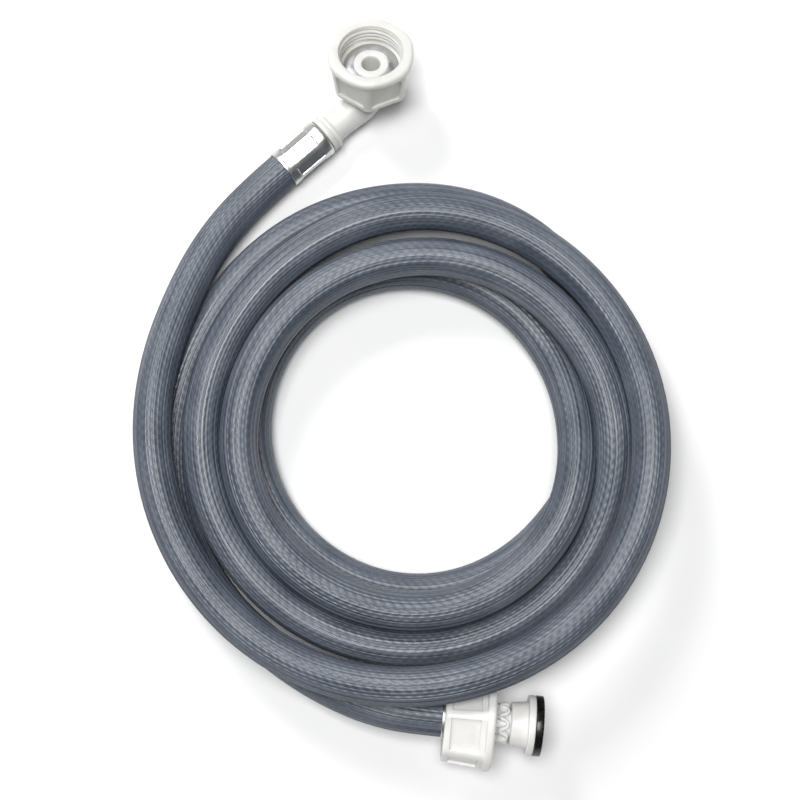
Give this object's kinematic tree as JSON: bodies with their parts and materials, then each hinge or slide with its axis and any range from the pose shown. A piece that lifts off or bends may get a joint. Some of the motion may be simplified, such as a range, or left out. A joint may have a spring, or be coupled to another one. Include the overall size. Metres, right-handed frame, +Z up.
{
  "type": "appliance fill hose",
  "caption": "Coiled fibre-braided PVC fill hose with an elbow end and a straight end, each crimped in a metal ferrule and closed by a swivel nut.",
  "frame": {"origin": "on the floor, under the middle of the box round the two end fittings", "axes": "+Z up from the floor, +Y from the straight end towards the elbow end, +X to the right seen from above"},
  "size_m": [0.2076, 0.2947, 0.0418],
  "materials": {
    "hose": "ribbed satin PVC",
    "liner": "smooth",
    "braid": "woven polyester",
    "ferrule": "satin",
    "white_plastic": "moulded",
    "ring": "turned",
    "gasket": "matte"
  },
  "bodies": {
    "hose": {"hose_lead_elbow": "hose", "hose_coil": "hose", "hose_lead_straight": "hose", "elbow_body": "white_plastic", "elbow_ferrule": "ferrule", "elbow_end_liner": "liner", "elbow_end_braid": "braid", "elbow_end_cover": "hose", "elbow_retaining_ring": "ring", "straight_tail": "white_plastic", "straight_ferrule": "ferrule", "straight_end_liner": "liner", "straight_end_braid": "braid", "straight_end_cover": "hose", "straight_gasket": "gasket"},
    "elbow_nut": {"elbow_nut": "white_plastic"},
    "straight_nut": {"straight_nut": "white_plastic"}
  },
  "joints": [
    {"name": "elbow_nut_spin", "type": "hinge", "parent": "hose", "child": "elbow_nut", "pos_m": [-0.01363, 0.12445, 0.01542], "axis": [0, 0.342, 0.9397], "continuous": true},
    {"name": "straight_nut_slide", "type": "slide", "parent": "hose", "child": "straight_nut", "axis": [0.9999, -0.0154, 0], "range_m": [0, 0.0217]}
  ]
}
